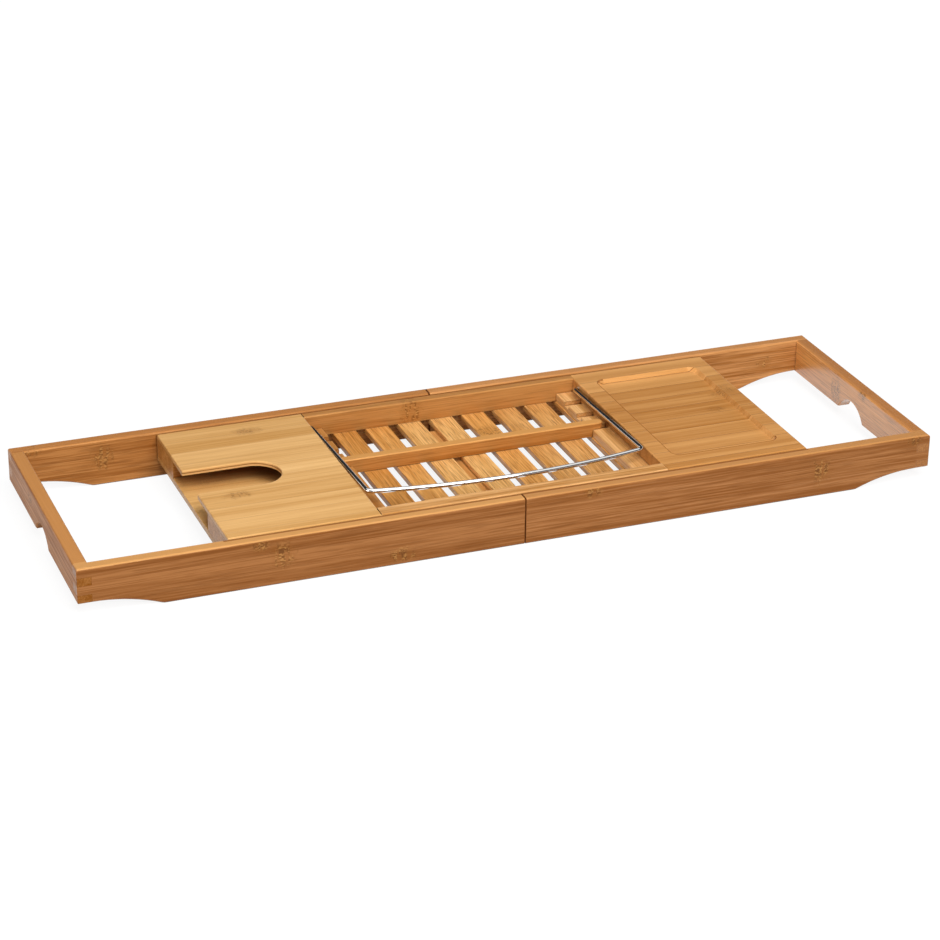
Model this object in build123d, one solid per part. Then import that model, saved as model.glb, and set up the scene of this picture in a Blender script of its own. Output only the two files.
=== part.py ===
from build123d import *
import math
import os

# Bath caddy of bamboo: a tray held between two frame halves that slide apart.
# Millimetres, X to the right, Y to the back, Z up.
# The origin is the middle of the underside with the frame closed.

os.makedirs("parts", exist_ok=True)

# One overrun for all cutters, and how near two places count as one
cut_overrun = 20.0
same_place = 0.1

# Frame, closed
frame_length = 750.0
frame_width = 240.0
rail_height = 41.2
rail_end_height = 30.2
rail_thickness = 12.0
seam_gap = 0.9
rail_top_round = 2.3
rail_low_bevel = 1.0
sweep_run = 59.0
knee_radius = 10.0
finger_rows = 4

# Finger notch in the lower edge of each end rail
notch_half_width = 22.0
notch_height = 12.7

# Tray
tray_length = 512.0
tray_shift = 7.0
tray_drop = 0.5
tray_side_gap = 1.4
tray_rail_height = 19.7
front_rail_thickness = 14.0
back_rail_thickness = 9.4
tray_round = 1.5
well_half_length = 126.5
plank_thickness = 5.0
wall_thickness = 10.0

# Glass holder at the left end
panel_thickness = 4.4
slot_width = 46.0
slot_shift = 3.8
slot_reach = 78.6
slot_round = 1.2
foot_space_width = 105.0

# Soap tray at the right end
soap_board_thickness = 12.0
recess_depth = 3.5
recess_slope = 2.5
recess_corner = 8.0
recess_well_border = 16.5
recess_end_border = 14.5
recess_front_border = 23.2
recess_back_border = 20.2
end_batten_width = 10.0

# Slats of the book well
slat_count = 9
slat_width = 21.2
slat_pitch = 30.0
slat_round = 0.8
centre_batten_width = 16.0
centre_batten_height = 6.0
centre_batten_inset = 23.4

# Book crossbar
bar_thickness = 9.0
bar_height = 12.7
tongue_height = 10.0
bar_side_clearance = 0.25
bar_end_clearance = 0.3
bar_tip_clearance = 0.8
bar_bevel = 0.9

# Notched racks that carry the crossbar
rack_width = 16.0
rack_height = 7.0
rack_notch_depth = 4.0
rack_notch_count = 3
rack_notch_pitch = 27.4
rack_first_notch = 23.9
rack_round = 0.8

# Book bail of bent wire
wire_diameter = 4.0
bail_wall_gap = 1.15
bail_pivot_from_back = 10.1
bail_front_margin = 31.1
bail_bow = 13.5
bail_corner_radius = 6.0
bail_stub_length = 8.0
bail_hole_clearance = 0.05
bail_hole_end_clearance = 0.3
bail_tilt_degrees = 2.2
bow_fill_share = 0.98

# Slide: runners on the tray, grooves and stop pegs in the frame rails
slide_travel = 170.0
runner_height = 4.8
runner_projection = 5.0
runner_housing = 3.0
runner_rise = 1.4
runner_end_inset = 5.0
groove_depth = 5.0
groove_clearance = 0.3
stop_peg_radius = 1.5
stop_peg_inset = 6.0
stop_peg_seat = 4.0
stop_peg_setback = 0.5
stop_clearance = 0.5

# Frame places
frame_end = frame_length / 2
frame_side = frame_width / 2
frame_inner_end = frame_end - rail_thickness
frame_inner_side = frame_side - rail_thickness
end_rise = rail_height - rail_end_height
foot_half_length = frame_inner_end - sweep_run
finger_height = rail_end_height / finger_rows

# Tray places, X measured from the middle of the tray
tray_end = tray_length / 2
tray_side = frame_inner_side - tray_side_gap
tray_top = rail_height - tray_drop
tray_low = tray_top - tray_rail_height
plank_low = tray_low - plank_thickness
well_front = front_rail_thickness - tray_side
well_back = tray_side - back_rail_thickness
panel_low = tray_top - panel_thickness
soap_board_low = tray_top - soap_board_thickness
bail_pivot_y = well_back - bail_pivot_from_back
bail_pivot_z = tray_top - soap_board_thickness / 2
wire_radius = wire_diameter / 2
bail_arm_x = well_half_length - bail_wall_gap - wire_radius
bail_hole_radius = wire_radius + bail_hole_clearance
rack_inner_x = well_half_length - rack_width
rack_notch_floor = tray_low + rack_height - rack_notch_depth
slats_end = (slat_pitch * (slat_count - 1) + slat_width) / 2

# Slide places
runner_low = tray_low + runner_rise
runner_inner_x = slide_travel + stop_peg_inset + stop_peg_radius + stop_clearance
groove_floor_y = frame_inner_side + groove_depth


def block(x_range, y_range, z_range):
    """A box between two places along each axis, given in either order."""
    spans = [sorted(span) for span in (x_range, y_range, z_range)]
    sizes = [high - low for low, high in spans]
    middles = [(high + low) / 2 for low, high in spans]
    return Pos(*middles) * Box(*sizes)


def write(name, shape):
    """Write one sub-part under its node's name."""
    shape.label = name
    export_step(shape, f"parts/{name}.step")


def in_tray(shape):
    """Move a shape from the middle of the tray to its place in the frame."""
    return Pos(tray_shift, 0, 0) * shape


def top_edges(shape, height):
    """The edges that lie flat at one height."""
    return shape.edges().filter_by_position(Axis.Z, height - same_place, height + same_place)


def lies_at(value, place):
    """True where a coordinate is at a named place, on either side of the middle."""
    return abs(abs(value) - place) < same_place


def side_profile(side):
    """Side view of a frame half: a flat foot, a knee and a long sweep up to the end."""
    turn = 2 * math.atan2(end_rise, sweep_run)
    knee_run = knee_radius * math.sin(turn)
    knee_rise = knee_radius * (1 - math.cos(turn))
    seam_x = side * seam_gap / 2
    foot_x = side * foot_half_length
    bend_x = side * (foot_half_length + knee_run)
    joint_x = side * frame_inner_end
    end_x = side * frame_end
    outline = [
        Line((seam_x, 0), (foot_x, 0)),
        TangentArc((foot_x, 0), (bend_x, knee_rise), tangent=(side, 0)),
        TangentArc((joint_x, end_rise), (bend_x, knee_rise), tangent=(-side, 0)),
        Line((joint_x, end_rise), (end_x, end_rise)),
        Line((end_x, end_rise), (end_x, rail_height)),
        Line((end_x, rail_height), (seam_x, rail_height)),
        Line((seam_x, rail_height), (seam_x, 0)),
    ]
    return Plane.XZ * make_face(outline)


def arch_cutter(side):
    """A round bar that cuts the finger notch across an end rail."""
    arch_radius = (notch_half_width**2 + notch_height**2) / (2 * notch_height)
    centre = Pos(side * frame_end, 0, end_rise + notch_height - arch_radius)
    return centre * Rot(0, 90, 0) * Cylinder(arch_radius, 2 * rail_thickness + cut_overrun)


def rims(shape, chosen):
    """The edges for which the test on their middle point holds, uprights aside."""
    uprights = shape.edges().filter_by(Axis.Z)
    return [edge for edge in shape.edges() if edge not in uprights and chosen(edge.center())]


def frame_blank(side):
    """A frame half as it is glued up and rounded over, before it is told into its rails."""
    blank = extrude(side_profile(side), amount=frame_side, both=True)
    blank -= block(
        (-side * cut_overrun, side * frame_inner_end),
        (-frame_inner_side, frame_inner_side),
        (-cut_overrun, rail_height + cut_overrun),
    )
    blank -= arch_cutter(side)
    mid_height = (rail_height + end_rise) / 2

    def low_rims(at):
        outside = lies_at(at.Y, frame_side) or lies_at(at.X, frame_end)
        arch = lies_at(at.X, frame_inner_end) and lies_at(at.Y, 0)
        return at.Z < mid_height and (outside or arch)

    def top_rims(at):
        return lies_at(at.Z, rail_height) and abs(at.X) > seam_gap

    blank = chamfer(rims(blank, low_rims), rail_low_bevel)
    return fillet(rims(blank, top_rims), rail_top_round)


def long_rail_fingers(side, back):
    """The joint rows that belong to a long rail: the first and third from the top."""
    rows = []
    for row in range(0, finger_rows, 2):
        row_top = rail_height - row * finger_height
        top = row_top + cut_overrun if row == 0 else row_top
        rows.append(
            block(
                (side * frame_inner_end, side * (frame_end + cut_overrun)),
                (back * frame_inner_side, back * (frame_side + cut_overrun)),
                (row_top - finger_height, top),
            )
        )
    return rows


def stop_peg_place(side, back, inner_y, outer_y):
    """A peg-sized cylinder across the groove, at the seam end of a long rail."""
    middle = back * (inner_y + outer_y) / 2
    height = runner_low + runner_height / 2
    peg = Rot(90, 0, 0) * Cylinder(stop_peg_radius, outer_y - inner_y)
    return Pos(side * stop_peg_inset, middle, height) * peg


def long_rail(blank, side, back):
    """A front or back rail: its part of the blank, grooved inside for the runner."""
    zone = block(
        (-side * cut_overrun, side * frame_inner_end),
        (back * frame_inner_side, back * (frame_side + cut_overrun)),
        (-cut_overrun, rail_height + cut_overrun),
    )
    for finger in long_rail_fingers(side, back):
        zone += finger
    rail = blank & zone

    def inner_low_rim(at):
        return lies_at(at.Y, frame_inner_side) and at.Z < end_rise

    rail = chamfer(rims(rail, inner_low_rim), rail_low_bevel)
    runner_outer_x = tray_end - runner_end_inset + side * tray_shift
    rail -= block(
        (-side * cut_overrun, side * (runner_outer_x + groove_clearance)),
        (back * (frame_inner_side - cut_overrun), back * groove_floor_y),
        (runner_low - groove_clearance, runner_low + runner_height + groove_clearance),
    )
    rail -= stop_peg_place(side, back, groove_floor_y, groove_floor_y + stop_peg_seat)
    return rail


def end_rail(blank, side):
    """A short rail: the end of the blank, less the joint rows of the two long rails."""
    rail = blank & block(
        (side * frame_inner_end, side * (frame_end + cut_overrun)),
        (-frame_side - cut_overrun, frame_side + cut_overrun),
        (-cut_overrun, rail_height + cut_overrun),
    )
    for back in (-1, 1):
        for finger in long_rail_fingers(side, back):
            rail -= finger
    return rail


def stop_pegs(side):
    """The two pegs that stop a frame half at the end of its travel."""
    peg_tip = frame_inner_side + stop_peg_setback
    peg_root = groove_floor_y + stop_peg_seat
    return Compound([stop_peg_place(side, back, peg_tip, peg_root) for back in (-1, 1)])


def tray_runner(side, back):
    """A runner strip housed in a tray rail, standing out into the frame's groove."""
    outer_x = side * (tray_end - runner_end_inset)
    inner_x = side * runner_inner_x - tray_shift
    return block(
        (inner_x, outer_x),
        (back * (tray_side - runner_housing), back * (tray_side + runner_projection)),
        (runner_low, runner_low + runner_height),
    )


def slat_places():
    """Middle of each slat along X."""
    first = -slat_pitch * (slat_count - 1) / 2
    return [first + index * slat_pitch for index in range(slat_count)]


def tray_rail(back, inner_y):
    """A long rail of the tray, full height along the well and lowered under both boards."""
    outer_y = back * tray_side
    rail = block((-tray_end, tray_end), (outer_y, inner_y), (tray_low, tray_top))
    rail = fillet(top_edges(rail, tray_top).filter_by(Axis.X), tray_round)
    across = (-tray_side - cut_overrun, tray_side + cut_overrun)
    above = tray_top + cut_overrun
    rail -= block((-tray_end - cut_overrun, -well_half_length), across, (panel_low, above))
    rail -= block((well_half_length, tray_end + cut_overrun), across, (soap_board_low, above))
    for side in (-1, 1):
        rail -= tray_runner(side, back)
    return rail


def glass_panel():
    """The top board of the glass holder, with the stem slot open at the left."""
    x_range = (-tray_end, -well_half_length)
    panel = block(x_range, (-tray_side, tray_side), (panel_low, tray_top))
    panel = fillet(top_edges(panel, tray_top), tray_round)
    slot_radius = slot_width / 2
    round_x = slot_reach - tray_end - slot_radius
    slot_z = (panel_low - cut_overrun, tray_top + cut_overrun)
    slot_y = (slot_shift - slot_radius, slot_shift + slot_radius)
    panel -= block((-tray_end - cut_overrun, round_x), slot_y, slot_z)
    panel -= Pos(round_x, slot_shift, panel_low) * Cylinder(slot_radius, 2 * cut_overrun)
    rim = [
        edge
        for edge in top_edges(panel, tray_top)
        if edge.geom_type == GeomType.CIRCLE or lies_at(edge.center().Y - slot_shift, slot_radius)
    ]
    return fillet(rim, slot_round) - bail_hole(-1)


def glass_shelf_board():
    """The lower board, on which the foot of the glass stands."""
    x_range = (-tray_end, -slats_end)
    board = block(x_range, (-tray_side, tray_side), (plank_low, tray_low))
    return fillet(top_edges(board, tray_low).sort_by(Axis.X)[0], slat_round)


def glass_spacer(wall_y, space_y):
    """A block between the two boards, beside the space for the glass foot."""
    x_range = (-tray_end, -well_half_length - wall_thickness)
    return block(x_range, (wall_y, space_y), (tray_low, panel_low))


def bail_hole(side):
    """The blind hole that a stub of the bail turns in."""
    reach = bail_stub_length + bail_hole_end_clearance
    hole_x = side * (well_half_length + reach / 2)
    return Pos(hole_x, bail_pivot_y, bail_pivot_z) * Rot(0, 90, 0) * Cylinder(bail_hole_radius, reach)


def well_wall(side, top):
    """A cross wall at one end of the book well."""
    x_range = (side * well_half_length, side * (well_half_length + wall_thickness))
    return block(x_range, (well_front, well_back), (tray_low, top))


def soap_tray_board():
    """The board at the right, with a shallow recess whose sides slope in to its floor."""
    x_range = (well_half_length, tray_end)
    board = block(x_range, (-tray_side, tray_side), (soap_board_low, tray_top))
    board = fillet(top_edges(board, tray_top), tray_round)
    recess_start = well_half_length + recess_well_border
    recess_end = tray_end - recess_end_border
    mouth_length = recess_end - recess_start
    mouth_width = 2 * tray_side - recess_front_border - recess_back_border
    middle_x = (recess_start + recess_end) / 2
    middle_y = (recess_front_border - recess_back_border) / 2
    mouth = RectangleRounded(mouth_length, mouth_width, recess_corner)
    floor = RectangleRounded(
        mouth_length - 2 * recess_slope,
        mouth_width - 2 * recess_slope,
        recess_corner - recess_slope,
    )
    recess = loft([Pos(0, 0, -recess_depth) * floor, mouth], ruled=True)
    board -= Pos(middle_x, middle_y, tray_top) * recess
    return board - bail_hole(1)


def soap_tray_end_batten():
    """The batten under the right end of the soap tray board."""
    x_range = (tray_end - end_batten_width, tray_end)
    return block(x_range, (well_front, well_back), (tray_low, soap_board_low))


def slat(x):
    """One slat of the well floor, its upper long edges eased."""
    x_range = (x - slat_width / 2, x + slat_width / 2)
    piece = block(x_range, (-tray_side, tray_side), (plank_low, tray_low))
    return fillet(top_edges(piece, tray_low).filter_by(Axis.Y), slat_round)


def slat_centre_batten():
    """The strip glued under two slats, across the gap left of the middle slat."""
    x_middle = -slat_pitch / 2
    x_range = (x_middle - centre_batten_width / 2, x_middle + centre_batten_width / 2)
    y_range = (centre_batten_inset - tray_side, tray_side - centre_batten_inset)
    return block(x_range, y_range, (plank_low - centre_batten_height, plank_low))


def rack_notch_places():
    """Middle of each notch along Y, from the back."""
    first = well_back - rack_first_notch
    return [first - index * rack_notch_pitch for index in range(rack_notch_count)]


def notched_rack(side):
    """A rack beside an end wall of the well, notched to take the crossbar's tongues."""
    x_range = (side * rack_inner_x, side * well_half_length)
    rack = block(x_range, (well_front, well_back), (tray_low, tray_low + rack_height))
    long_edges = top_edges(rack, tray_low + rack_height).filter_by(Axis.Y)
    rack = fillet([edge for edge in long_edges if lies_at(edge.center().X, rack_inner_x)], rack_round)
    notch_width = bar_thickness + 2 * bar_side_clearance
    for y in rack_notch_places():
        rack -= block(
            (side * (rack_inner_x - cut_overrun), side * (well_half_length + cut_overrun)),
            (y - notch_width / 2, y + notch_width / 2),
            (rack_notch_floor, tray_low + rack_height + cut_overrun),
        )
    return rack


def book_crossbar():
    """The loose bar across the well, with a round-ended tongue at each end."""
    y = rack_notch_places()[-1]
    tip_x = bail_arm_x - wire_radius - bar_tip_clearance
    tongue_top = rack_notch_floor + tongue_height
    tongue = Pos(0, y, rack_notch_floor) * extrude(
        SlotOverall(2 * tip_x, bar_thickness), amount=tongue_height
    )
    body_x = rack_inner_x - bar_end_clearance
    y_range = (y - bar_thickness / 2, y + bar_thickness / 2)
    body = block((-body_x, body_x), y_range, (tongue_top - bar_height, tongue_top))
    bar = tongue + body
    return chamfer(top_edges(bar, tongue_top), bar_bevel)


def book_wire_bail():
    """The bent wire: two stubs, two arms and a bowed front, tilted up from its pivot."""
    stub_x = well_half_length + bail_stub_length
    tilt = math.radians(bail_tilt_degrees)
    front_y = (well_front + bail_front_margin - bail_pivot_y) / math.cos(tilt)
    apex_y = front_y - 2 * bail_bow
    pivot_bend = bail_wall_gap + wire_radius
    half_turn = math.atan2(2 * bail_bow, bail_arm_x)
    slope_length = math.hypot(2 * bail_bow, bail_arm_x)
    corner_reach = bail_corner_radius * math.tan((math.pi / 2 - half_turn) / 2)
    bow_radius = bow_fill_share * (slope_length - corner_reach) / math.tan(half_turn)
    corners = [
        (-stub_x, 0),
        (-bail_arm_x, 0),
        (-bail_arm_x, front_y),
        (0, apex_y),
        (bail_arm_x, front_y),
        (bail_arm_x, 0),
        (stub_x, 0),
    ]
    radii = [pivot_bend, bail_corner_radius, bow_radius, bail_corner_radius, pivot_bend]
    wire = Part()
    for run in FilletPolyline(*corners, radius=radii).edges():
        section = Plane(origin=run @ 0, z_dir=run % 0) * Circle(wire_radius)
        if run.geom_type == GeomType.LINE:
            wire += extrude(section, amount=run.length)
        else:
            turn = math.degrees(run.length / run.radius)
            axle = (run @ 0 - run.arc_center).cross(run % 0)
            wire += revolve(section, axis=Axis(run.arc_center, axle), revolution_arc=turn)
    return Pos(0, bail_pivot_y, bail_pivot_z) * Rot(-bail_tilt_degrees, 0, 0) * wire


# Frame halves
for side_name, side in (("left", -1), ("right", 1)):
    blank = frame_blank(side)
    write(f"{side_name}_front_rail", long_rail(blank, side, -1))
    write(f"{side_name}_back_rail", long_rail(blank, side, 1))
    write(f"{side_name}_end_rail", end_rail(blank, side))
    write(f"{side_name}_stop_pegs", stop_pegs(side))

# Tray rails and their runners
write("tray_front_rail", in_tray(tray_rail(-1, well_front)))
write("tray_back_rail", in_tray(tray_rail(1, well_back)))
for side_name, side in (("left", -1), ("right", 1)):
    for back_name, back in (("front", -1), ("back", 1)):
        write(f"{side_name}_{back_name}_runner", in_tray(tray_runner(side, back)))

# Glass holder
write("glass_panel", in_tray(glass_panel()))
write("glass_shelf_board", in_tray(glass_shelf_board()))
write("glass_spacer_front", in_tray(glass_spacer(well_front, slot_shift - foot_space_width / 2)))
write("glass_spacer_back", in_tray(glass_spacer(well_back, slot_shift + foot_space_width / 2)))

# Soap tray
write("soap_tray_board", in_tray(soap_tray_board()))
write("soap_tray_end_batten", in_tray(soap_tray_end_batten()))

# Book well
write("well_left_wall", in_tray(well_wall(-1, panel_low) - bail_hole(-1)))
write("well_right_wall", in_tray(well_wall(1, soap_board_low)))
write("left_notched_rack", in_tray(notched_rack(-1)))
write("right_notched_rack", in_tray(notched_rack(1)))
for number, x in enumerate(slat_places(), start=1):
    write(f"slat_{number}", in_tray(slat(x)))
write("slat_centre_batten", in_tray(slat_centre_batten()))

# Loose and moving pieces of the well
write("book_crossbar", in_tray(book_crossbar()))
write("book_wire_bail", in_tray(book_wire_bail()))
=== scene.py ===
import bpy
import math
from collections import namedtuple
from mathutils import Matrix, Vector


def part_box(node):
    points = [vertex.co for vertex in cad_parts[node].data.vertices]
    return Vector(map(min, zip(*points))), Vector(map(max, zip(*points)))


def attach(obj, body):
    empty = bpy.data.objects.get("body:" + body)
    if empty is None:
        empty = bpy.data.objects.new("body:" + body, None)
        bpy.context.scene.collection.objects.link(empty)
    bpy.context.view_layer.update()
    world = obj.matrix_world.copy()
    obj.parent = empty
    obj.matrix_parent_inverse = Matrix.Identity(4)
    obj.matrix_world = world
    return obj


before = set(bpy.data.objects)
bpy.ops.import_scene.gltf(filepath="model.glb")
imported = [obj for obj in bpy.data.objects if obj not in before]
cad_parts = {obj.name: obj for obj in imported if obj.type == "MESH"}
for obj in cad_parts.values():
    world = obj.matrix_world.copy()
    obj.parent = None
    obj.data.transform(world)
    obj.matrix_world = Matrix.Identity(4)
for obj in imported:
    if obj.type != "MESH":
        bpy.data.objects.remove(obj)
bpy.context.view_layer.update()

# Studio: the camera stands to the left in front of the caddy and looks down on it.
# The floor and the room are white for the eye and for gloss, and give a plain soft light.
MM = 0.001
studio = bpy.context.scene
studio.view_settings.view_transform = "Standard"
camera_place = (-0.791355, -2.024958, 1.035473)
camera_turn_degrees = (64.835, -0.590, -21.004)
camera_lens = 107.461
camera_data = bpy.data.cameras.new("photo_camera")
camera_data.lens = camera_lens
camera = bpy.data.objects.new("photo_camera", camera_data)
camera.location = camera_place
camera.rotation_euler = [math.radians(angle) for angle in camera_turn_degrees]
studio.collection.objects.link(camera)
studio.camera = camera


class Wiring:
    """Adds nodes to one material, world or shader group and joins them."""

    def __init__(self, tree):
        self.tree = tree

    def node(self, kind, options=None, **inputs):
        """Add a node, set its options, and join or set its inputs by name, or by number as i0."""
        made = self.tree.nodes.new(kind)
        for option, value in (options or {}).items():
            setattr(made, option, value)
        for key, value in inputs.items():
            place = int(key[1:]) if key[1:].isdigit() else key.replace("_", " ")
            self.feed(made.inputs[place], value)
        return made

    def feed(self, socket, value):
        """Join a socket to another, or set it to a plain value."""
        if isinstance(value, bpy.types.NodeSocket):
            self.tree.links.new(value, socket)
        else:
            socket.default_value = value

    def number(self, operation, *values):
        """The result of one operation on plain numbers."""
        inputs = {f"i{place}": value for place, value in enumerate(values)}
        return self.node("ShaderNodeMath", {"operation": operation}, **inputs).outputs[0]

    def plus(self, first, second):
        """One number added to another."""
        return self.number("ADD", first, second)

    def minus(self, first, second):
        """One number less another."""
        return self.number("SUBTRACT", first, second)

    def times(self, first, second):
        """One number multiplied by another."""
        return self.number("MULTIPLY", first, second)

    def larger(self, first, second):
        """The larger of two numbers."""
        return self.number("MAXIMUM", first, second)

    def outside(self, mask):
        """A mask of all that another mask leaves out."""
        return self.minus(1.0, mask)

    def vectors(self, operation, *values):
        """The result of one operation on vectors."""
        inputs = {f"i{place}": value for place, value in enumerate(values)}
        return self.node("ShaderNodeVectorMath", {"operation": operation}, **inputs).outputs[0]

    def scaled(self, vector, factor):
        """A vector made longer or shorter."""
        options = {"operation": "SCALE"}
        return self.node("ShaderNodeVectorMath", options, i0=vector, Scale=factor).outputs[0]

    def alike(self, first, second):
        """How far two directions agree, from 1 for the same to -1 for opposite."""
        options = {"operation": "DOT_PRODUCT"}
        return self.node("ShaderNodeVectorMath", options, i0=first, i1=second).outputs["Value"]

    def length(self, vector):
        """The length of a vector."""
        options = {"operation": "LENGTH"}
        return self.node("ShaderNodeVectorMath", options, i0=vector).outputs["Value"]

    def parts(self, vector):
        """The three numbers of a vector."""
        return self.node("ShaderNodeSeparateXYZ", i0=vector).outputs

    def object_place(self):
        """Where a point lies on the caddy at rest, in metres."""
        return self.node("ShaderNodeTexCoord").outputs["Object"]

    def facing(self):
        """The way in which the surface faces, without its bumps."""
        return self.node("ShaderNodeNewGeometry").outputs["True Normal"]

    def rise(self, value, low, high):
        """A mask that is 0 below low, 1 above high and smooth between them."""
        options = {"interpolation_type": "SMOOTHSTEP"}
        return self.node("ShaderNodeMapRange", options, i0=value, i1=low, i2=high).outputs[0]

    def noise(self, place, scale, detail, roughness=0.5):
        """Noise of about 0 to 1 over a place."""
        inputs = {"Vector": place, "Scale": scale, "Detail": detail, "Roughness": roughness}
        return self.node("ShaderNodeTexNoise", None, **inputs).outputs[0]

    def blend(self, factor, first, second):
        """A colour between two colours."""
        options = {"data_type": "RGBA"}
        return self.node("ShaderNodeMix", options, i0=factor, i6=first, i7=second).outputs[2]


def seen_by_eye(wiring):
    """1 for what the camera, gloss and clear materials see, and 0 for the light."""
    rays = wiring.node("ShaderNodeLightPath").outputs
    gloss = wiring.larger(rays["Is Glossy Ray"], rays["Is Transmission Ray"])
    return wiring.larger(rays["Is Camera Ray"], gloss)


def grey(value):
    """A plain grey as a colour with its alpha."""
    return (value, value, value, 1)


room_light = 0.22
wall_grey = 0.03
horizon_rise = (0.08, 0.20)
ceiling_rise = (0.60, 0.78)
room = bpy.data.worlds.new("white_room")
room.use_nodes = True
room.node_tree.nodes.clear()
studio.world = room
air = Wiring(room.node_tree)
air_way = air.node("ShaderNodeTexCoord").outputs["Generated"]
air_height = air.parts(air_way)[2]
above_horizon = air.rise(air_height, *horizon_rise)
below_ceiling = air.outside(air.rise(air_height, *ceiling_rise))
walls = air.times(above_horizon, below_ceiling)
dim_air = air.node("ShaderNodeBackground", Color=grey(1), Strength=room_light)
white_air = air.node(
    "ShaderNodeBackground", Color=air.blend(walls, grey(1), grey(wall_grey)), Strength=1
)
all_air = air.node(
    "ShaderNodeMixShader", i0=seen_by_eye(air), i1=dim_air.outputs[0], i2=white_air.outputs[0]
)
air.node("ShaderNodeOutputWorld", Surface=all_air.outputs[0])

floor_size = 40.0
floor_grey = 0.5
floor_lit_grey = 0.13
floor_near_white = 0.90
floor_far_white = 0.975
floor_near_reach = 0.5
floor_far_reach = 1.2
bpy.ops.object.select_all(action="DESELECT")
bpy.ops.mesh.primitive_plane_add(size=floor_size, location=(0, 0, 0))
floor = bpy.context.active_object
floor.name = "studio_floor"
floor_paper = bpy.data.materials.new("pale_floor")
floor_paper.use_nodes = True
floor_paper.node_tree.nodes.clear()
paper = Wiring(floor_paper.node_tree)
lit_paper = paper.node("ShaderNodeBsdfDiffuse", Color=grey(floor_lit_grey))
paper_place = paper.object_place()
far_share = paper.rise(paper.length(paper_place), floor_near_reach, floor_far_reach)
own_white = paper.node(
    "ShaderNodeEmission",
    Strength=1,
    Color=paper.blend(far_share, grey(floor_near_white), grey(floor_far_white)),
)
bright_paper = paper.node("ShaderNodeAddShader", i0=lit_paper.outputs[0], i1=own_white.outputs[0])
plain_paper = paper.node("ShaderNodeBsdfDiffuse", Color=grey(floor_grey))
all_paper = paper.node(
    "ShaderNodeMixShader",
    i0=seen_by_eye(paper),
    i1=plain_paper.outputs[0],
    i2=bright_paper.outputs[0],
)
paper.node("ShaderNodeOutputMaterial", Surface=all_paper.outputs[0])
floor.data.materials.append(floor_paper)


def softbox(name, place, size, power):
    """A square area lamp that looks at the middle of the caddy."""
    lamp_data = bpy.data.lights.new(name, "AREA")
    lamp_data.shape = "SQUARE"
    lamp_data.size = size
    lamp_data.energy = power
    lamp = bpy.data.objects.new(name, lamp_data)
    lamp.location = place
    lamp.rotation_euler = (-Vector(place)).to_track_quat("-Z", "Y").to_euler()
    studio.collection.objects.link(lamp)


softbox("overhead_softbox", place=(-0.2, 0.3, 1.9), size=1.6, power=3)
softbox("left_softbox", place=(-2.6, -0.4, 0.8), size=1.0, power=20)
softbox("front_softbox", place=(0.05, -1.68, 2.0), size=1.8, power=77)

# Frame rails, front and back: long bamboo rails with a raised end, planed and varnished.
# Each is glued up from strips along its length, and shows the knuckles of the culm.
# A cut holds the width and thickness of the strips, how far each mark of the wood shows, and how
# strongly the rounded rims take a painted highlight.
AXES = {"X": Vector((1, 0, 0)), "Y": Vector((0, 1, 0)), "Z": Vector((0, 0, 1))}
Cut = namedtuple("Cut", "strip ply tone streak fibre fleck glue contrast rim sawn scar fineness")
rail_cut = Cut(
    strip=14.2 * MM,
    ply=6 * MM,
    tone=0.25,
    streak=0.30,
    fibre=0.45,
    fleck=0.40,
    glue=0.12,
    contrast=1.9,
    rim=0.7,
    sawn=0.34,
    scar=0.62,
    fineness=1.0,
)
rail_start = (0, -3 * MM, -0.4 * MM)
rail_shades = {
    "left_front_rail": (0.305, 0.111, 0.030),
    "left_back_rail": (0.395, 0.148, 0.035),
    "right_front_rail": (0.335, 0.127, 0.037),
    "right_back_rail": (0.495, 0.206, 0.061),
}
fibre_brown = (0.17, 0.055, 0.012, 1)
knuckle_brown = (0.24, 0.080, 0.010, 1)
scar_brown = (0.090, 0.026, 0.004, 1)
glint_shade = (0.80, 0.44, 0.13, 1)
varnish_amber = (1.0, 0.62, 0.30, 1)
# painted shade colour for gaps, corners and the slot under the panel
painted_shade_brown = (0.045, 0.014, 0.004, 1)
# painted shade colour for the dark lines along gaps, seams and the recess edge
gap_shade_brown = (0.20, 0.055, 0.008, 1)
tone_spread = (0.28, 0.40, 0.62)


def shader_group(name, inputs, outputs):
    """A new shader group: its wiring, its input sockets and its output node."""
    group = bpy.data.node_groups.new(name, "ShaderNodeTree")
    for socket_name, kind in inputs.items():
        group.interface.new_socket(socket_name, in_out="INPUT", socket_type=f"NodeSocket{kind}")
    for socket_name, kind in outputs.items():
        group.interface.new_socket(socket_name, in_out="OUTPUT", socket_type=f"NodeSocket{kind}")
    wiring = Wiring(group)
    return wiring, wiring.node("NodeGroupInput").outputs, wiring.node("NodeGroupOutput").inputs


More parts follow.
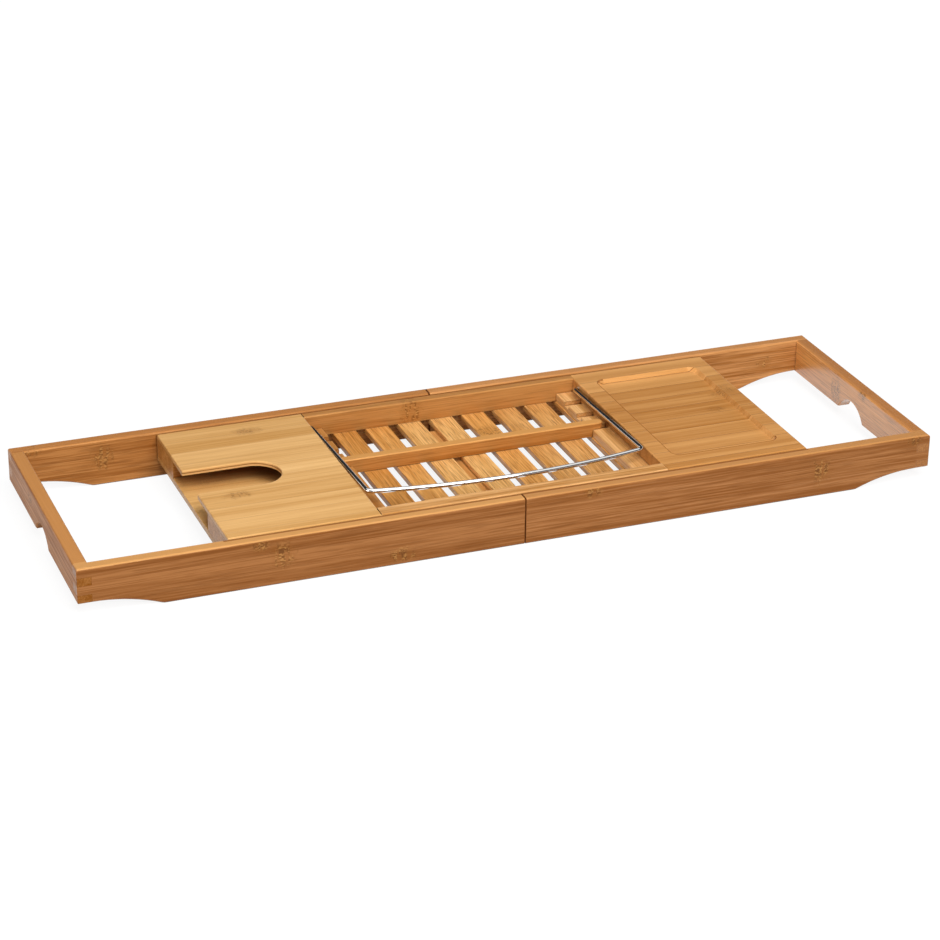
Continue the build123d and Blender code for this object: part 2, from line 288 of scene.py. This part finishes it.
def bamboo_strips():
    """Which glued strip a place is in, the strip's own tone, and the dark glue line round it."""
    wiring, given, result = shader_group(
        "bamboo_strips",
        {"Place": "Vector", "Strip Width": "Float", "Strip Depth": "Float", "Seed": "Float"},
        {"Grain Place": "Vector", "Tone": "Float", "Glue Line": "Float"},
    )
    glue_half_width = 0.28 * MM
    grain_shift = 3.0
    parts = wiring.parts(given["Place"])
    across = wiring.number("DIVIDE", parts[1], given["Strip Width"])
    through = wiring.number("DIVIDE", parts[2], given["Strip Depth"])
    row = wiring.number("FLOOR", across)
    ply = wiring.number("FLOOR", through)
    cell = wiring.node("ShaderNodeCombineXYZ", i0=row, i1=ply, i2=given["Seed"]).outputs[0]
    chance = wiring.node("ShaderNodeTexWhiteNoise", {"noise_dimensions": "3D"}, i0=cell).outputs
    place = wiring.vectors("ADD", given["Place"], wiring.scaled(chance["Color"], grain_shift))
    gaps = []
    for share, width in ((across, given["Strip Width"]), (through, given["Strip Depth"])):
        part = wiring.number("FRACT", share)
        near = wiring.number("MINIMUM", part, wiring.outside(part))
        gaps.append(wiring.times(near, width))
    nearest = wiring.number("MINIMUM", *gaps)
    line = wiring.outside(wiring.rise(nearest, glue_half_width / 2, glue_half_width))
    wiring.feed(result["Grain Place"], place)
    wiring.feed(result["Tone"], chance["Value"])
    wiring.feed(result["Glue Line"], line)


def bamboo_grain():
    """The long fine fibres, the broad soft streaks and the dark short flecks of split bamboo."""
    wiring, given, result = shader_group(
        "bamboo_grain",
        {"Place": "Vector"},
        {"Streak": "Float", "Fibre": "Float", "Fleck": "Float"},
    )
    streaks_per_metre = (2.5, 85.0, 85.0)
    fibres_per_metre = (12.0, 600.0, 600.0)
    flecks_per_metre = (30.0, 950.0, 950.0)
    soft_band = (0.33, 0.67)
    fleck_band = (0.54, 0.66)
    streak_place = wiring.vectors("MULTIPLY", given["Place"], streaks_per_metre)
    fibre_place = wiring.vectors("MULTIPLY", given["Place"], fibres_per_metre)
    fleck_place = wiring.vectors("MULTIPLY", given["Place"], flecks_per_metre)
    streak = wiring.noise(streak_place, scale=1.0, detail=2.0)
    fibre = wiring.noise(fibre_place, scale=1.0, detail=3.0, roughness=0.7)
    fleck = wiring.noise(fleck_place, scale=1.0, detail=1.0)
    wiring.feed(result["Streak"], wiring.rise(streak, *soft_band))
    wiring.feed(result["Fibre"], wiring.rise(fibre, *soft_band))
    wiring.feed(result["Fleck"], wiring.rise(fleck, *fleck_band))


def bamboo_knuckle():
    """The scar of one joint of the culm: a soft brown cloud with rows of small dark dashes."""
    wiring, given, result = shader_group(
        "bamboo_knuckle",
        {"Place": "Vector", "Centre": "Vector", "Reach": "Vector"},
        {"Cloud": "Float", "Dashes": "Float", "Glints": "Float"},
    )
    wobbles_per_metre = 160.0
    wobble_share = 0.9
    cloud_edge = (0.75, 1.55)
    rows_per_metre = (330.0, 70.0, 70.0)
    dots_per_metre = (380.0, 850.0, 850.0)
    row_band = (0.44, 0.56)
    dot_band = (0.42, 0.54)
    offset = wiring.vectors("SUBTRACT", given["Place"], given["Centre"])
    reached = wiring.length(wiring.vectors("DIVIDE", offset, given["Reach"]))
    wobble = wiring.noise(given["Place"], wobbles_per_metre, detail=2.0)
    rough_reach = wiring.plus(reached, wiring.times(wobble, wobble_share))
    cloud = wiring.outside(wiring.rise(rough_reach, *cloud_edge))
    row_place = wiring.vectors("MULTIPLY", given["Place"], rows_per_metre)
    dot_place = wiring.vectors("MULTIPLY", given["Place"], dots_per_metre)
    rows = wiring.rise(wiring.noise(row_place, scale=1.0, detail=1.0), *row_band)
    dots = wiring.rise(wiring.noise(dot_place, scale=1.0, detail=1.0), *dot_band)
    marked = wiring.times(rows, cloud)
    wiring.feed(result["Cloud"], cloud)
    wiring.feed(result["Dashes"], wiring.times(dots, marked))
    wiring.feed(result["Glints"], wiring.times(wiring.outside(dots), marked))


def eased_edge():
    """A mask of the rounded rims, found where the surface turns within a small radius."""
    wiring, given, result = shader_group("eased_edge", {"Radius": "Float"}, {"Rim": "Float"})
    turn_band = (0.01, 0.14)
    turned = wiring.node("ShaderNodeBevel", {"samples": 6}, Radius=given["Radius"]).outputs[0]
    turn = wiring.outside(wiring.alike(wiring.facing(), turned))
    wiring.feed(result["Rim"], wiring.rise(turn, *turn_band))


def painted_crevice_shade():
    """A mask of painted shade in the narrow gaps and inner corners, darkest where they are most
    closed in.
    """
    wiring, given, result = shader_group(
        "painted_crevice_shade", {"Reach": "Float", "Closed": "Float", "Open": "Float"}, {"Shade": "Float"}
    )
    options = {"samples": 6}
    hemmed = wiring.node("ShaderNodeAmbientOcclusion", options, Distance=given["Reach"])
    clear = wiring.rise(hemmed.outputs["AO"], given["Closed"], given["Open"])
    wiring.feed(result["Shade"], wiring.outside(clear))


def end_grain():
    """A mask of the sawn ends of a piece, and the fine dots of the cut fibres on them."""
    wiring, given, result = shader_group(
        "end_grain",
        {"Lengthwise": "Vector", "Place": "Vector"},
        {"Sawn": "Float", "Dots": "Float"},
    )
    square_band = (0.86, 0.97)
    dots_per_metre = 900.0
    dot_band = (0.42, 0.62)
    squareness = wiring.number("ABSOLUTE", wiring.alike(wiring.facing(), given["Lengthwise"]))
    sawn = wiring.rise(squareness, *square_band)
    dots = wiring.rise(wiring.noise(given["Place"], dots_per_metre, detail=1.0), *dot_band)
    wiring.feed(result["Sawn"], sawn)
    wiring.feed(result["Dots"], wiring.times(dots, sawn))


bamboo_strips()
bamboo_grain()
bamboo_knuckle()
eased_edge()
painted_crevice_shade()
end_grain()


def use_group(wiring, name, **inputs):
    """Place a shader group in a material and return its outputs."""
    made = wiring.node("ShaderNodeGroup", {"node_tree": bpy.data.node_groups[name]})
    for key, value in inputs.items():
        wiring.feed(made.inputs[key.replace("_", " ")], value)
    return made.outputs


def grain_turn(along, wide):
    """The turn that lays a piece's length on X and its wide side on Y."""
    lengthwise = AXES[along]
    sideways = AXES[wide]
    return Matrix((lengthwise, sideways, lengthwise.cross(sideways)))


def shades(colour):
    """The pale and the deep shade of one bamboo colour."""
    pale = [part * (1 + spread) for part, spread in zip(colour, tone_spread)] + [1]
    deep = [part * (1 - spread) for part, spread in zip(colour, tone_spread)] + [1]
    return pale, deep


def bamboo_colour(wiring, along, wide, cut, seed, colour, knuckles=(), start=(0, 0, 0)):
    """The colour, fibre, relief and sawn ends of bamboo whose grain runs along one axis."""
    middle_shade = 0.5
    fibre_relief = 0.4
    cloud_share = 0.25
    glint_share = 0.40
    end_dot_share = 0.16
    end_outline = 0.85
    rim_radius = 1.3 * MM
    turn = grain_turn(along, wide)
    corner = -(turn @ Vector(start))
    laid = wiring.node("ShaderNodeMapping", Vector=wiring.object_place())
    laid.inputs["Rotation"].default_value = turn.to_euler()
    laid.inputs["Location"].default_value = corner
    laid = laid.outputs[0]
    pale, deep = shades(colour)
    strips = use_group(
        wiring, "bamboo_strips", Place=laid, Strip_Width=cut.strip, Strip_Depth=cut.ply, Seed=seed
    )
    grain_place = wiring.scaled(strips["Grain Place"], cut.fineness)
    grain = use_group(wiring, "bamboo_grain", Place=grain_place)
    shade = wiring.times(strips["Tone"], cut.tone)
    shade = wiring.plus(shade, wiring.times(grain["Streak"], cut.streak))
    shade = wiring.plus(shade, wiring.times(grain["Fibre"], cut.fibre))
    shade = wiring.times(wiring.minus(shade, middle_shade), cut.contrast)
    tint = wiring.blend(wiring.plus(shade, middle_shade), pale, deep)
    tint = wiring.blend(wiring.times(grain["Fleck"], cut.fleck), tint, fibre_brown)
    relief = wiring.minus(wiring.times(grain["Fibre"], fibre_relief), strips["Glue Line"])
    for centre, reach in knuckles:
        scar = use_group(
            wiring,
            "bamboo_knuckle",
            Place=laid,
            Centre=turn @ Vector(centre) * MM + corner,
            Reach=reach,
        )
        dash = wiring.times(scar["Dashes"], cut.scar)
        glint = wiring.times(scar["Glints"], cut.scar * glint_share)
        tint = wiring.blend(wiring.times(scar["Cloud"], cloud_share), tint, knuckle_brown)
        tint = wiring.blend(glint, tint, glint_shade)
        tint = wiring.blend(dash, tint, scar_brown)
        relief = wiring.minus(relief, dash)
    tint = wiring.blend(wiring.times(strips["Glue Line"], cut.glue), tint, fibre_brown)
    ends = use_group(wiring, "end_grain", Lengthwise=AXES[along], Place=laid)
    sawn = wiring.times(ends["Sawn"], cut.sawn)
    sawn = wiring.plus(sawn, wiring.times(ends["Dots"], end_dot_share))
    tint = wiring.blend(sawn, tint, knuckle_brown)
    rim = use_group(wiring, "eased_edge", Radius=rim_radius)["Rim"]
    outline = wiring.times(wiring.times(rim, ends["Sawn"]), end_outline)
    tint = wiring.blend(outline, tint, fibre_brown)
    # painted highlight: the rounded rims, away from the sawn ends, are lightened toward the pale
    # shade
    rim_highlight = wiring.times(rim, wiring.outside(ends["Sawn"]))
    tint = wiring.blend(wiring.times(rim_highlight, cut.rim), tint, pale)
    return tint, grain["Fibre"], relief, ends["Sawn"]


def varnished(
    wiring,
    tint,
    fibre,
    relief,
    sawn,
    colour,
    line=0.0,
    gloss=0.5,
    coat=0.0,
    sanded=0.0,
    top=None,
    amber=varnish_amber,
    shelter=(3.0 * MM, 0.25, 0.72),
):
    """Finish a bamboo material with painted shade in its gaps and corners and a thin satin
    varnish.

    The line mask paints shade along gaps and seams, the upper faces take the top colour as painted
    top light as far as their share says, and the reach and bounds set how far a corner darkens the
    wood as painted shade and where that darkness starts and ends.
    """
    upper_band = (0.5, 0.85)
    painted_shade_share = 0.8
    smooth_varnish = 0.30
    fibre_dullness = 0.12
    reach, closed, clear = shelter
    painted_shade = use_group(wiring, "painted_crevice_shade", Reach=reach, Closed=closed, Open=clear)["Shade"]
    facing_up = wiring.parts(wiring.facing())[2]
    # painted top light: the upper faces blend toward a paler top colour
    lit_upper = wiring.times(wiring.rise(facing_up, *upper_band), sanded)
    tint = wiring.blend(lit_upper, tint, top or shades(colour)[0])
    # painted shade: the wood darkens in gaps and inner corners
    tint = wiring.blend(wiring.times(painted_shade, painted_shade_share), tint, painted_shade_brown)
    # painted shade: dark lines along gaps, seams and the recess edge
    tint = wiring.blend(line, tint, gap_shade_brown)
    bump = wiring.node("ShaderNodeBump", Strength=0.35, Distance=0.15 * MM, Height=relief)
    dull = wiring.plus(smooth_varnish, wiring.times(fibre, fibre_dullness))
    skin = wiring.node(
        "ShaderNodeBsdfPrincipled",
        Base_Color=tint,
        Roughness=wiring.larger(dull, line),
        Normal=bump.outputs[0],
        Specular_IOR_Level=gloss,
        Specular_Tint=amber,
        Coat_Weight=wiring.times(wiring.outside(sawn), coat) if coat else 0.0,
        Coat_Roughness=0.2,
    )
    wiring.node("ShaderNodeOutputMaterial", Surface=skin.outputs[0])


def new_finish(name):
    """An empty material and the wiring to fill it."""
    material = bpy.data.materials.new(name)
    material.use_nodes = True
    material.node_tree.nodes.clear()
    return material, Wiring(material.node_tree)


def painted_gap_shade(wiring, bands):
    """A mask of the painted shade lines in which one piece lies close to another, each in its own
    box.
    """
    line_strength = 0.75
    where = wiring.object_place()
    line = 0.0
    for low, high in bands:
        middle = (Vector(low) + Vector(high)) / 2 * MM
        half = (Vector(high) - Vector(low)) / 2 * MM
        apart = wiring.vectors("ABSOLUTE", wiring.vectors("SUBTRACT", where, middle))
        shares = wiring.parts(wiring.vectors("DIVIDE", apart, half))
        farthest = wiring.larger(wiring.larger(shares[0], shares[1]), shares[2])
        line = wiring.larger(wiring.number("LESS_THAN", farthest, 1.0), line)
    return wiring.times(line, line_strength)


def bamboo(
    name, along, wide, cut, seed, colour, knuckles=(), start=(0, 0, 0), bands=(), **finish
):
    """A varnished bamboo material for one piece."""
    material, wiring = new_finish(name)
    made = bamboo_colour(wiring, along, wide, cut, seed, colour, knuckles, start)
    varnished(wiring, *made, colour, painted_gap_shade(wiring, bands) if bands else 0.0, **finish)
    return material


def dress(node, material):
    """Give a CAD node its finish."""
    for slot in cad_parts[node].material_slots:
        slot.material = material


small_knuckle = (10 * MM, 6.5 * MM, 30 * MM)
tall_knuckle = (12 * MM, 15 * MM, 30 * MM)
wide_knuckle = (15 * MM, 8 * MM, 30 * MM)
rail_knuckles = {
    "left_front_rail": [
        ((-226.6, -120, 36.9), small_knuckle),
        ((-208.3, -120, 26), tall_knuckle),
        ((-107.5, -120, 8.4), wide_knuckle),
    ],
    "left_back_rail": [((-296.3, 108, 25.6), tall_knuckle), ((-356.9, 108, 39.8), small_knuckle)],
    "right_front_rail": [
        ((58.7, -120, 37.9), small_knuckle),
        ((270.9, -120, 24.2), tall_knuckle),
        ((360.3, -120, 38.5), small_knuckle),
    ],
    "right_back_rail": [((330, 108, 24), small_knuckle)],
}
# painted shade: dark lines along the gap between the tray and the front rails, and at the seam of
# the frame
rail_bands = {
    "left_front_rail": [((-254, -112, 40), (0, -107.5, 43)), ((-0.9, -121, -1), (1, -107, 43))],
    "left_back_rail": [((-1.1, 107, -1), (1, 121, 43))],
    "right_front_rail": [((0, -112, 40), (262, -107.5, 43)), ((-1, -121, -1), (0.9, -107, 43))],
    "right_back_rail": [((-1, 107, -1), (1.1, 121, 43))],
}
# painted top light: how far the upper faces of the rails take a paler top colour
well_sanded = 0.85
lightly_sanded = 0.6
rail_tops = {
    "left_front_rail": {"sanded": well_sanded, "top": (0.67, 0.335, 0.108, 1)},
    "left_back_rail": {"sanded": lightly_sanded},
    "right_front_rail": {"sanded": well_sanded, "top": (0.55, 0.255, 0.080, 1)},
    "right_back_rail": {"sanded": lightly_sanded},
}
for seed, (node, knuckles) in enumerate(rail_knuckles.items(), start=1):
    finish = bamboo(
        f"{node}_bamboo",
        "X",
        "Z",
        rail_cut,
        seed,
        rail_shades[node],
        knuckles,
        rail_start,
        rail_bands[node],
        **rail_tops[node],
    )
    dress(node, finish)

# Frame end rails: short rails across the ends, box-jointed into the long rails.
# An arch is cut in the lower edge for the fingers, and the grain runs across the caddy.
end_start = (-3 * MM, 0, -0.4 * MM)
end_knuckles = {
    "left_end_rail": [((-375, 40, 30), small_knuckle)],
    "right_end_rail": [((363, 28.1, 25.1), tall_knuckle), ((363, -19.4, 38.7), small_knuckle)],
}
# The right end rail is painted paler than the left, standing in for the pale reflected light on
# its inner face; its top colour is darker so that its top matches the others.
end_shades = {"left_end_rail": (0.40, 0.155, 0.040), "right_end_rail": (0.78, 0.33, 0.085)}
end_cuts = {
    "left_end_rail": rail_cut._replace(sawn=0.45),
    "right_end_rail": rail_cut._replace(sawn=0.7, contrast=1.1),
}
clear_varnish = (1.0, 0.96, 0.92, 1)
end_varnish = {
    "left_end_rail": {"gloss": 0.05, "top": (0.53, 0.24, 0.075, 1)},
    "right_end_rail": {"coat": 1.0, "top": (0.46, 0.18, 0.048, 1), "amber": clear_varnish},
}
for seed, (node, knuckles) in enumerate(end_knuckles.items(), start=11):
    finish = bamboo(
        f"{node}_bamboo",
        "Y",
        "Z",
        end_cuts[node],
        seed,
        end_shades[node],
        knuckles,
        end_start,
        sanded=well_sanded,
        **end_varnish[node],
    )
    dress(node, finish)

# Stop pegs: plain steel pins pressed across the grooves near the seam of the frame.
# They catch the tray's runners when a half is pulled out as far as it goes.
drawn_grey = (0.50, 0.49, 0.47, 1)
stain_grey = (0.30, 0.27, 0.24, 1)


def worn_steel(name):
    """Drawn steel with fine scratches and a little stain."""
    scratches_per_metre = (900.0, 900.0, 260.0)
    stains_per_metre = 240.0
    stain_band = (0.35, 0.8)
    stain_share = 0.35
    polished = 0.26
    scratch_dullness = 0.22
    material, wiring = new_finish(name)
    where = wiring.object_place()
    scratch_place = wiring.vectors("MULTIPLY", where, scratches_per_metre)
    scratch = wiring.noise(scratch_place, scale=1.0, detail=3.0)
    stain = wiring.rise(wiring.noise(where, stains_per_metre, detail=2.0), *stain_band)
    tint = wiring.blend(wiring.times(stain, stain_share), drawn_grey, stain_grey)
    bump = wiring.node("ShaderNodeBump", Strength=0.2, Distance=0.05 * MM, Height=scratch)
    skin = wiring.node(
        "ShaderNodeBsdfPrincipled",
        Base_Color=tint,
        Metallic=1.0,
        Roughness=wiring.plus(polished, wiring.times(scratch, scratch_dullness)),
        Normal=bump.outputs[0],
    )
    wiring.node("ShaderNodeOutputMaterial", Surface=skin.outputs[0])
    return material


peg_steel = worn_steel("stop_peg_steel")
for side in ("left", "right"):
    dress(f"{side}_stop_pegs", peg_steel)

# Tray rails: the two long rails that carry the boards and slats between the frame halves.
# Their tops are eased, and they are lowered under the boards at both ends.
tray_cut = rail_cut._replace(
    strip=10.5 * MM,
    ply=7 * MM,
    tone=0.15,
    streak=0.40,
    fleck=0.30,
    glue=0.10,
    contrast=1.5,
    rim=0.5,
)
tray_rail_cuts = {"tray_front_rail": tray_cut, "tray_back_rail": tray_cut._replace(contrast=0.7)}
tray_low_corner = (0, 0, 21 * MM)
tray_shades = {"tray_front_rail": (0.64, 0.325, 0.112), "tray_back_rail": (0.475, 0.208, 0.056)}
tray_knuckles = {"tray_front_rail": [], "tray_back_rail": [((-21.3, 97.2, 31.1), tall_knuckle)]}
# painted shade: a dark line along the gap at the back of the tray
back_gap = [((-255, 104.2, 38), (263, 107, 42))]
tray_bands = {"tray_front_rail": [], "tray_back_rail": back_gap}
for seed, (node, knuckles) in enumerate(tray_knuckles.items(), start=21):
    finish = bamboo(
        f"{node}_bamboo",
        "X",
        "Z",
        tray_rail_cuts[node],
        seed,
        tray_shades[node],
        knuckles,
        tray_low_corner,
        tray_bands[node],
    )
    dress(node, finish)

# Runners: four square strips housed in the tray rails, which slide in the frame's grooves.
# They are left a little rough, and are a caramel shade like the frame.
runner_cut = tray_cut._replace(strip=12 * MM, ply=12 * MM, fleck=0.40, glue=0)
caramel = (0.455, 0.178, 0.047)
for seed, side in enumerate(("left", "right"), start=31):
    for row in ("front", "back"):
        name = f"{side}_{row}_runner"
        dress(name, bamboo(f"{name}_bamboo", "X", "Z", runner_cut, seed, caramel))

# Glass holder: a slotted top board over a lower board, with a spacer block at the front and back.
# Both boards are glued up from wide strips along their length, pale and glossy on top.
board_cut = Cut(
    strip=22.6 * MM,
    ply=40 * MM,
    tone=0.46,
    streak=0.32,
    fibre=0.22,
    fleck=0.06,
    glue=0.30,
    contrast=1.0,
    rim=0.2,
    sawn=0.34,
    scar=0.38,
    fineness=1.0,
)
board_start = (0, -119.6 * MM, 10 * MM)
straw = (0.73, 0.415, 0.152)
panel_seed = 241
panel_knuckles = [((-174.6, 86.2, 40.7), wide_knuckle), ((-219.2, -32.4, 40.7), wide_knuckle)]
# painted shade on the far wall of the glass slot
slot_wall_shade = ((-253, 3, 37.8), (-165, 30, 38.8))
panel_bands = [*back_gap, slot_wall_shade]
panel_finish = bamboo(
    "glass_panel_bamboo",
    "X",
    "Y",
    board_cut,
    panel_seed,
    straw,
    panel_knuckles,
    board_start,
    panel_bands,
)
dress("glass_panel", panel_finish)
shelf_seed = 42
shelf_straw = (0.64, 0.355, 0.12)
# painted shadow: the shelf darkens deep under the panel, round the glass slot
shadow_under_panel = (60 * MM, 0.10, 0.26)
shelf_finish = bamboo(
    "glass_shelf_bamboo",
    "X",
    "Y",
    board_cut,
    shelf_seed,
    shelf_straw,
    start=board_start,
    shelter=shadow_under_panel,
)
dress("glass_shelf_board", shelf_finish)
honey = (0.52, 0.232, 0.062)
for seed, node in enumerate(("glass_spacer_front", "glass_spacer_back"), start=43):
    spacer_finish = bamboo(
        f"{node}_bamboo", "X", "Z", tray_cut, seed, honey, start=tray_low_corner
    )
    dress(node, spacer_finish)

# Soap tray: a thick board with a shallow recess, and a batten under its right end.
# It is glued up from the same wide strips as the glass holder, and is a shade browner.
soap_seed = 551
soap_shade = (0.59, 0.274, 0.079)
soap_cut = board_cut._replace(contrast=1.15, glue=0.9)
broad_knuckle = (14 * MM, 11 * MM, 30 * MM)
soap_knuckles = [((248.3, 28.6, 40.7), broad_knuckle), ((228, 0, 37.4), small_knuckle)]


def recess_line(wiring):
    """A mask of the thin painted shade line round the recess, on its left and front sides, whose
    walls face away from the lamps.
    """
    middle = (199.25 * MM, 1.5 * MM)
    half = (49.25 * MM, 84.9 * MM)
    corner = 8 * MM
    line_half_width = 0.75 * MM
    line_strength = 0.65
    where = wiring.parts(wiring.object_place())
    past_corner = []
    on_side = []
    for axis in (0, 1):
        apart = wiring.number("ABSOLUTE", wiring.minus(where[axis], middle[axis]))
        past = wiring.larger(wiring.minus(apart, half[axis] - corner), 0.0)
        past_corner.append(wiring.number("POWER", past, 2.0))
        side_end = middle[axis] - half[axis] + corner
        on_side.append(wiring.number("LESS_THAN", where[axis], side_end))
    from_corner = wiring.number("SQRT", wiring.plus(*past_corner))
    off_line = wiring.number("ABSOLUTE", wiring.minus(from_corner, corner))
    on_line = wiring.number("LESS_THAN", off_line, line_half_width)
    return wiring.times(on_line, wiring.times(wiring.larger(*on_side), line_strength))


soap_finish, soap_wiring = new_finish("soap_tray_bamboo")
soap_made = bamboo_colour(
    soap_wiring, "X", "Y", soap_cut, soap_seed, soap_shade, soap_knuckles, board_start
)
soap_line = soap_wiring.larger(recess_line(soap_wiring), painted_gap_shade(soap_wiring, back_gap))
varnished(soap_wiring, *soap_made, soap_shade, soap_line)
dress("soap_tray_board", soap_finish)
end_batten_seed = 53
end_batten_finish = bamboo("end_batten_bamboo", "Y", "Z", tray_cut, end_batten_seed, honey)
dress("soap_tray_end_batten", end_batten_finish)

# Book well: two cross walls, nine slats with gaps between, and a strip glued under two of them.
# The slats are split from nearer the bark, so they are redder and more strongly flecked.
slat_count = 9
slat_cut = tray_cut._replace(
    strip=24 * MM,
    ply=40 * MM,
    tone=0.25,
    streak=0.20,
    fibre=0.55,
    fleck=0.60,
    glue=0,
    rim=0.4,
    contrast=1.25,
    fineness=1.6,
)
bark = (0.69, 0.325, 0.087)
middle_bark = (0.68, 0.345, 0.110)
pale_bark = (0.72, 0.385, 0.125)
slat_shades = {4: pale_bark, 5: pale_bark, 7: middle_bark, 8: middle_bark}
slat_knuckles = {6: [((36.9, 56.6, 21), tall_knuckle)]}
first_slat_seed = 71
for seed, side in enumerate(("left", "right"), start=61):
    name = f"well_{side}_wall"
    dress(name, bamboo(f"{name}_bamboo", "Y", "Z", tray_cut, seed, honey))
for number in range(1, slat_count + 1):
    name = f"slat_{number}"
    slat_finish = bamboo(
        f"{name}_bamboo",
        "Y",
        "X",
        slat_cut,
        first_slat_seed + number - 1,
        slat_shades.get(number, bark),
        slat_knuckles.get(number, []),
        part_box(name)[0],
    )
    dress(name, slat_finish)
centre_seed = 69
centre_finish = bamboo("centre_batten_bamboo", "Y", "X", tray_cut, centre_seed, honey)
dress("slat_centre_batten", centre_finish)

# Slat screws: steel pan-head screws driven up through the slats into the tray rails.
# Four more hold the lower board of the glass holder to its spacers.
head_radius = 3.2 * MM
head_height = 1.5 * MM
head_rounding = 0.9 * MM
cross_width = 1.0 * MM
cross_length = 3.6 * MM
cross_depth = 0.9 * MM
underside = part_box("slat_1")[0][2]
screw_steel = worn_steel("screw_steel")


def pan_head():
    """One pan head with a cross recess, upside down with its seat at the origin."""
    rim_steps = 40
    rounding_steps = 5
    bpy.ops.object.select_all(action="DESELECT")
    bpy.ops.mesh.primitive_cylinder_add(vertices=rim_steps, radius=head_radius, depth=head_height)
    head = bpy.context.active_object
    head.data.transform(Matrix.Translation((0, 0, -head_height / 2)))
    head.matrix_world = Matrix.Identity(4)
    bpy.ops.object.mode_set(mode="EDIT")
    bpy.ops.mesh.select_all(action="DESELECT")
    bpy.ops.object.mode_set(mode="OBJECT")
    for edge in head.data.edges:
        edge.select = all(head.data.vertices[end].co.z < -head_height / 2 for end in edge.vertices)
    bpy.ops.object.mode_set(mode="EDIT")
    bpy.ops.mesh.bevel(offset=head_rounding, segments=rounding_steps, affect="EDGES")
    bpy.ops.object.mode_set(mode="OBJECT")
    for size in ((cross_length, cross_width), (cross_width, cross_length)):
        bpy.ops.object.select_all(action="DESELECT")
        bpy.ops.mesh.primitive_cube_add(size=1)
        cutter = bpy.context.active_object
        cutter.data.transform(Matrix.Diagonal((*size, 2 * cross_depth, 1)))
        cutter.data.transform(Matrix.Translation((0, 0, -head_height)))
        bpy.ops.object.select_all(action="DESELECT")
        bpy.context.view_layer.objects.active = head
        cut = head.modifiers.new("cross_recess", "BOOLEAN")
        cut.object = cutter
        cut.operation = "DIFFERENCE"
        bpy.ops.object.modifier_apply(modifier=cut.name)
        bpy.data.objects.remove(cutter)
    return head


screw_places = []
for number in range(1, slat_count + 1):
    low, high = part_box(f"slat_{number}")
    for node in ("tray_front_rail", "tray_back_rail"):
        rail_low, rail_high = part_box(node)
        screw_places.append(((low[0] + high[0]) / 2, (rail_low[1] + rail_high[1]) / 2))
shelf_low, shelf_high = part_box("glass_shelf_board")
screw_inset = 22 * MM
for x in (shelf_low[0] + screw_inset, shelf_high[0] - screw_inset):
    for node in ("glass_spacer_front", "glass_spacer_back"):
        spacer_low, spacer_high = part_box(node)
        screw_places.append((x, (spacer_low[1] + spacer_high[1]) / 2))
turn_step = 0.7
pattern = pan_head()
pattern.data.materials.append(screw_steel)
for number, (x, y) in enumerate(screw_places, start=1):
    screw = pattern.copy()
    screw.data = pattern.data.copy()
    screw.name = f"slat_screw_{number}"
    turn = Matrix.Rotation(number * turn_step, 4, "Z")
    screw.data.transform(Matrix.Translation((x, y, underside)) @ turn)
    studio.collection.objects.link(screw)
    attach(screw, "tray")
bpy.data.objects.remove(pattern)

# Notched racks: two low blocks on the end slats with three square notches each.
# The crossbar's tongues drop into a pair of them.
rack_cut = slat_cut._replace(
    tone=0.20, streak=0.35, fibre=0.45, fleck=0.20, contrast=1.0, fineness=1.0
)
# The right rack is painted paler than the left, standing in for the light and glare on its front
# block.
rack_shades = {"left_notched_rack": honey, "right_notched_rack": (0.72, 0.39, 0.145)}
for seed, (node, shade) in enumerate(rack_shades.items(), start=81):
    rack_finish = bamboo(
        f"{node}_bamboo", "Y", "X", rack_cut, seed, shade, start=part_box(node)[0]
    )
    dress(node, rack_finish)

# Book crossbar: a loose bar with a rounded tongue at each end, which holds the foot of a book.
# It is planed from one strip and eased along its top.
bar_cut = tray_cut._replace(
    strip=40 * MM, ply=40 * MM, tone=0.10, streak=0.45, glue=0, contrast=1.1, rim=0.1
)
bar_seed = 91
bar_shade = (0.435, 0.178, 0.042)
# painted top light: the crossbar's top is painted paler than its front
bar_top = (0.68, 0.33, 0.095, 1)
bar_finish = bamboo(
    "crossbar_bamboo", "X", "Z", bar_cut, bar_seed, bar_shade, sanded=well_sanded, top=bar_top
)
dress("book_crossbar", bar_finish)

# Book bail: spring steel wire, bent in a flat bow and chrome plated.
# It tilts up on its two stubs and holds the pages of a book.
bright_grey = (0.88, 0.88, 0.87, 1)
dull_grey = (0.72, 0.72, 0.71, 1)
smears_per_metre = (90.0, 90.0, 300.0)
mirror_dullness = 0.03
smear_dullness = 0.10
chrome, chrome_wiring = new_finish("bright_chrome")
smear_place = chrome_wiring.vectors("MULTIPLY", chrome_wiring.object_place(), smears_per_metre)
smear = chrome_wiring.noise(smear_place, scale=1.0, detail=3.0)
chrome_bump = chrome_wiring.node("ShaderNodeBump", Strength=0.06, Distance=0.05 * MM, Height=smear)
chrome_skin = chrome_wiring.node(
    "ShaderNodeBsdfPrincipled",
    Base_Color=chrome_wiring.blend(smear, bright_grey, dull_grey),
    Metallic=1.0,
    Roughness=chrome_wiring.plus(mirror_dullness, chrome_wiring.times(smear, smear_dullness)),
    Normal=chrome_bump.outputs[0],
)
chrome_wiring.node("ShaderNodeOutputMaterial", Surface=chrome_skin.outputs[0])
dress("book_wire_bail", chrome)
